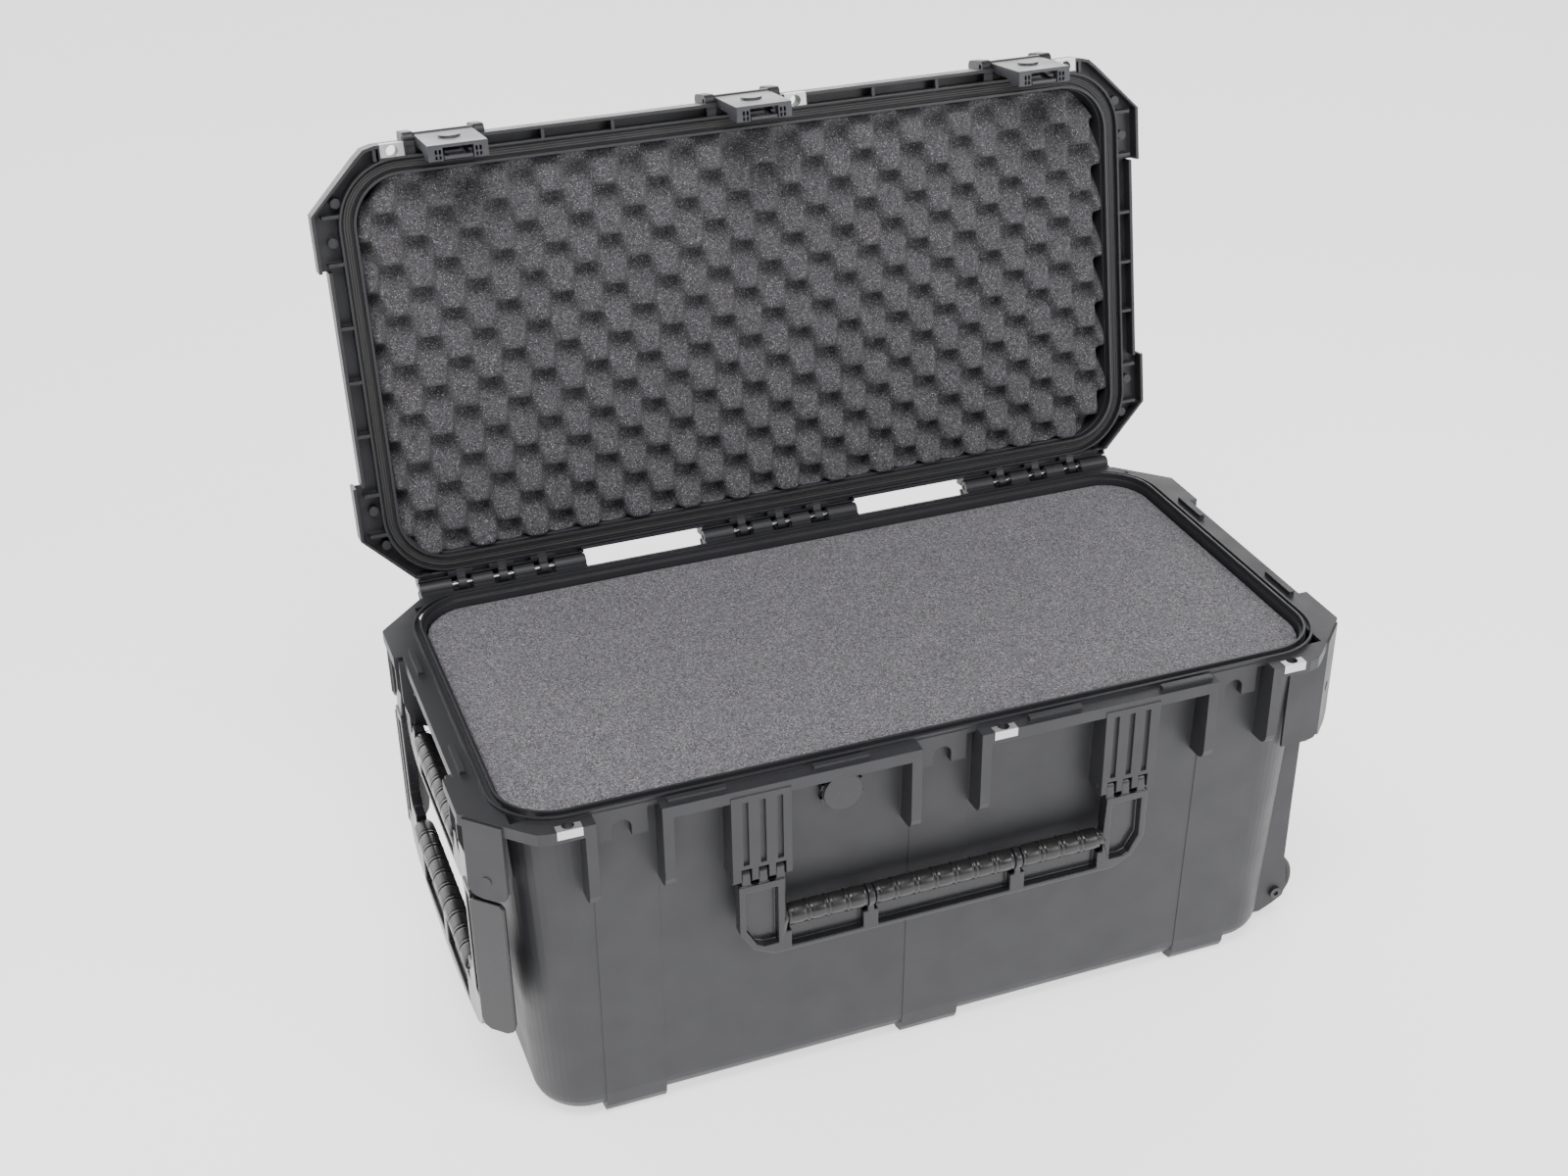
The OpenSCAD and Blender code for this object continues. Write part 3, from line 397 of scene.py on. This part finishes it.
def grips(node, tubes, side, pitch, nub_angle, nubs, relief):
    """All ribbed sleeves of one handle as one piece."""
    work = bmesh.new()
    for path in tubes:
        grip_tube(work, path, side, pitch, nub_angle, nubs, relief)
    bmesh.ops.recalc_face_normals(work, faces=work.faces)
    name = node + "_ribbed"
    stand_for(linked(name, smooth_mesh(work, name)), node)


front_sleeves = [straight((start, -0.198, 0.196), (end, -0.198, 0.196))
                 for start, end in ((-0.147, -0.076), (-0.068, 0.062), (0.070, 0.145))]
carry_sleeve = straight((-0.391, -0.073, 0.262), (-0.391, 0.073, 0.262))
tow_sleeve = straight((-0.396, -0.104, 0.146), (-0.396, 0.104, 0.146))
grips("front_handle_grips", front_sleeves, Vector((0, 1, 0)), 0.018, 4.0, 0.0003, 1.0)
grips("carry_handle_grip", [carry_sleeve], Vector((1, 0, 0)), 0.018, 2.4, 0.0, 0.55)
grips("tow_handle_grip", [tow_sleeve], Vector((1, 0, 0)), 0.020, 2.4, 0.0, 0.55)


# ---------------------------------------------------------------------- gasket
def lid_seal():
    """The lid's soft seal: three rounded ridges that run round the groove."""
    half_x, half_y, radius = 0.3683, 0.1778, 0.045
    profile = [(0.0033, 0.0059), (0.0033, 0.0046)]
    for k in range(3):
        start = 0.0036 + k * 0.0023
        for n in range(7):
            a = math.pi * n / 6
            profile.append((start + 0.00105 * (1 - math.cos(a)), 0.0050 - 0.0009 * math.sin(a)))
    profile += [(0.0105, 0.0046), (0.0105, 0.0059)]
    work = bmesh.new()
    loops = []
    for qx, qy, start in ((1, 1, 0), (-1, 1, 90), (-1, -1, 180), (1, -1, 270)):
        cx, cy = qx * (half_x - radius), qy * (half_y - radius)
        for n in range(25):
            a = math.radians(start + 90 * n / 24)
            loops.append([work.verts.new((cx + (radius + d) * math.cos(a),
                                          cy + (radius + d) * math.sin(a),
                                          RIM_Z + z)) for d, z in profile])
    for a, b in zip(loops, loops[1:] + loops[:1]):
        for k in range(len(profile)):
            n = (k + 1) % len(profile)
            work.faces.new((a[k], a[n], b[n], b[k]))
    bmesh.ops.recalc_face_normals(work, faces=work.faces)
    work.transform(TO_OPEN)
    name = "lid_gasket_ridged"
    stand_for(linked(name, smooth_mesh(work, name)), "lid_gasket")


lid_seal()


# ------------------------------------------------------------------------ foam
FOAM_UNEVEN = 0.0003


def foam_block(node, voxel):
    """A cut foam layer: soft arrises and a faintly uneven skin, pulled in a little."""
    name = node + "_cut"
    obj = linked(name, clean_copy(node, name))
    remesh = obj.modifiers.new("remesh", "REMESH")
    remesh.mode = "VOXEL"
    remesh.voxel_size = voxel
    smooth = obj.modifiers.new("smooth", "SMOOTH")
    smooth.factor = 0.5
    smooth.iterations = 4
    bpy.context.view_layer.update()
    shape = obj.evaluated_get(bpy.context.evaluated_depsgraph_get())
    mesh = bpy.data.meshes.new_from_object(shape)
    obj.modifiers.clear()
    obj.data = mesh
    places = [v.co.copy() for v in mesh.vertices]
    normals = [v.normal.copy() for v in mesh.vertices]
    flat = []
    for co, normal in zip(places, normals):
        wave = noise.noise(co * 14.0) + 0.4 * noise.noise(co * 55.0)
        flat.extend(co - normal * (FOAM_UNEVEN * (0.6 + 0.5 * wave)))
    mesh.vertices.foreach_set("co", flat)
    mesh.shade_smooth()
    stand_for(obj, node)


# Only the top layer is seen, so it alone gets the finer grid
for layer, voxel in (("bottom_pad", 0.006), ("layer_lower", 0.006),
                     ("layer_middle", 0.006), ("layer_upper", 0.003)):
    foam_block("foam_" + layer, voxel)


def convoluted_foam():
    """Lid foam: staggered rows of soft peaks, sagging a little towards the hinge."""
    half_x, half_y, radius = 0.3665, 0.1760, 0.044
    front, back = RIM_Z + 0.0015, LID_TOP - 0.0056
    pitch_x, pitch_y = 0.0508, 0.0460
    shift_x, shift_y = 0.0110, 0.0010
    blunt = 2.0
    step = 0.0024
    rows = int(2 * half_y / step) + 1
    columns = int(2 * half_x / step) + 1
    work = bmesh.new()
    grid = []
    for j in range(rows):
        y = -half_y + 2 * half_y * j / (rows - 1)
        over = max(0.0, abs(y) - (half_y - radius))
        reach = half_x - radius + math.sqrt(max(radius * radius - over * over, 0.0))
        line = []
        for i in range(columns):
            x = reach * (2 * i / (columns - 1) - 1)
            across = math.cos(FULL_TURN * (x + shift_x) / pitch_x)
            across = math.tanh(blunt * across) / math.tanh(blunt)
            wave = across * math.cos(FULL_TURN * (y + shift_y) / pitch_y)
            dip = (0.5 - 0.5 * wave) ** 1.3
            edge = min(reach - abs(x), half_y - abs(y))
            depth = 0.0205 * dip + 0.0050 * max(0.0, 1 - edge / 0.012) ** 2
            inside = min(1.0, (half_y - abs(y)) / 0.014)
            droop = 0.0125 * (1 - dip) * inside
            uneven = 0.0008 * noise.noise(Vector((x * 40, y * 40, 3.0)))
            line.append(work.verts.new((x, y + droop, front + depth + uneven + 0.0008)))
        grid.append(line)
    for j in range(rows - 1):
        for i in range(columns - 1):
            work.faces.new((grid[j][i], grid[j + 1][i], grid[j + 1][i + 1], grid[j][i + 1]))
    rim = (grid[0] + [line[-1] for line in grid[1:]] + list(reversed(grid[-1]))[1:]
           + [line[0] for line in reversed(grid[1:-1])])
    levels = [front + 0.030, back - 0.008, back - 0.002, back]
    pull = [0.0010, 0.0026, 0.0052, 0.0100]
    loops = [rim]
    for z, inward in zip(levels, pull):
        ring = []
        for v in rim:
            cx = max(-half_x + radius, min(half_x - radius, v.co.x))
            cy = max(-half_y + radius, min(half_y - radius, v.co.y))
            out = Vector((v.co.x - cx, v.co.y - cy, 0))
            if out.length > 1e-6:
                out.normalize()
            corner = (v.co.x - out.x * inward, v.co.y - out.y * inward, max(z, v.co.z))
            ring.append(work.verts.new(corner))
        loops.append(ring)
    for a, b in zip(loops, loops[1:]):
        for k in range(len(a)):
            n = (k + 1) % len(a)
            work.faces.new((a[k], a[n], b[n], b[k]))
    work.faces.new(list(reversed(loops[-1])))
    bmesh.ops.recalc_face_normals(work, faces=work.faces)
    work.transform(TO_OPEN)
    name = "lid_foam_convoluted"
    obj = linked(name, smooth_mesh(work, name))
    stand_for(obj, "lid_foam")


convoluted_foam()


# ----------------------------------------------------- camera, floor and lights
def look_along(yaw, pitch, roll):
    """Camera rotation from degrees: yaw from +Y to +X, pitch down, then roll."""
    y, p, r = (math.radians(v) for v in (yaw, pitch, roll))
    forward = Vector((math.sin(y) * math.cos(p), math.cos(y) * math.cos(p), -math.sin(p)))
    right = Vector((math.cos(y), -math.sin(y), 0))
    up = right.cross(forward)
    side = right * math.cos(r) + up * math.sin(r)
    top = up * math.cos(r) - right * math.sin(r)
    return Matrix((side, top, -forward)).transposed().to_4x4()


camera = linked("camera", bpy.data.cameras.new("camera"))
camera.data.lens = 48.1
camera.data.sensor_width = 36
camera.data.sensor_fit = "HORIZONTAL"
camera.data.clip_end = 60
CAMERA_PLACE = (-0.6205, -1.5008, 1.3167)
camera.matrix_world = Matrix.Translation(CAMERA_PLACE) @ look_along(20.07, 30.10, -0.893)
scene.camera = camera

floor_material = Tree("studio_floor")
pale = floor_material.mix(floor_material.noise(3.0), rgb(0.88), rgb(0.90))
floor_material.set(floor_material.shader, "Base Color", pale)
floor_material.shader.inputs["Roughness"].default_value = 0.8
floor_material.shader.inputs["Emission Color"].default_value = (1, 1, 1, 1)
floor_material.shader.inputs["Emission Strength"].default_value = 1.3
FLOOR_HALF = 14
floor_corners = [(FLOOR_HALF * x, FLOOR_HALF * y, 0)
                 for x, y in ((-1, -1), (1, -1), (1, 1), (-1, 1))]
floor_mesh = bpy.data.meshes.new("floor")
floor_mesh.from_pydata(floor_corners, [], [(0, 1, 2, 3)])
floor = linked("floor", floor_mesh)
floor.data.materials.append(floor_material.material)


def softbox(name, place, size, watts):
    """A soft area light aimed at the middle of the case."""
    light = bpy.data.lights.new(name, "AREA")
    light.shape = "RECTANGLE"
    light.size, light.size_y = size
    light.energy = watts
    obj = linked(name, light)
    obj.location = place
    aim = CASE_MIDDLE - Vector(place)
    obj.rotation_euler = aim.to_track_quat("-Z", "Y").to_euler()


CASE_MIDDLE = Vector((0, 0, 0.30))
softbox("key", (2.2, -2.6, 1.7), (1.8, 1.6), 60)
softbox("top", (-0.6, -1.1, 3.1), (2.2, 1.5), 105)

# A dim studio with a bright backdrop low down behind the case
world = bpy.data.worlds.new("studio")
world.use_nodes = True
sky = world.node_tree


def sky_node(kind, operation=None):
    """A new node of the world's own tree."""
    node = sky.nodes.new(kind)
    if operation:
        node.operation = operation
    return node


def sky_span(socket, low, high, to_low, to_high):
    """One range of a direction mapped to another range."""
    node = sky_node("ShaderNodeMapRange")
    for key, value in zip(SPAN_SOCKETS, (low, high, to_low, to_high)):
        node.inputs[key].default_value = value
    sky.links.new(socket, node.inputs["Value"])
    return node.outputs["Result"]


def sky_math(operation, a, b):
    """Two sockets put through one sum."""
    node = sky_node("ShaderNodeMath", operation)
    sky.links.new(a, node.inputs[0])
    sky.links.new(b, node.inputs[1])
    return node.outputs[0]


way = sky_node("ShaderNodeSeparateXYZ")
sky.links.new(sky_node("ShaderNodeTexCoord").outputs["Generated"], way.inputs[0])
room = sky_span(way.outputs["Z"], 0.05, 0.75, 0.45, 0.12)
behind = sky_span(way.outputs["Y"], 0.15, 0.85, 0.0, 4.2)
low_down = sky_span(way.outputs["Z"], 0.40, 0.75, 1.0, 0.0)
total = sky_math("ADD", room, sky_math("MULTIPLY", behind, low_down))
sky.nodes["Background"].inputs["Color"].default_value = (1, 1, 1, 1)
sky.links.new(total, sky.nodes["Background"].inputs["Strength"])
scene.world = world

bpy.context.view_layer.update()
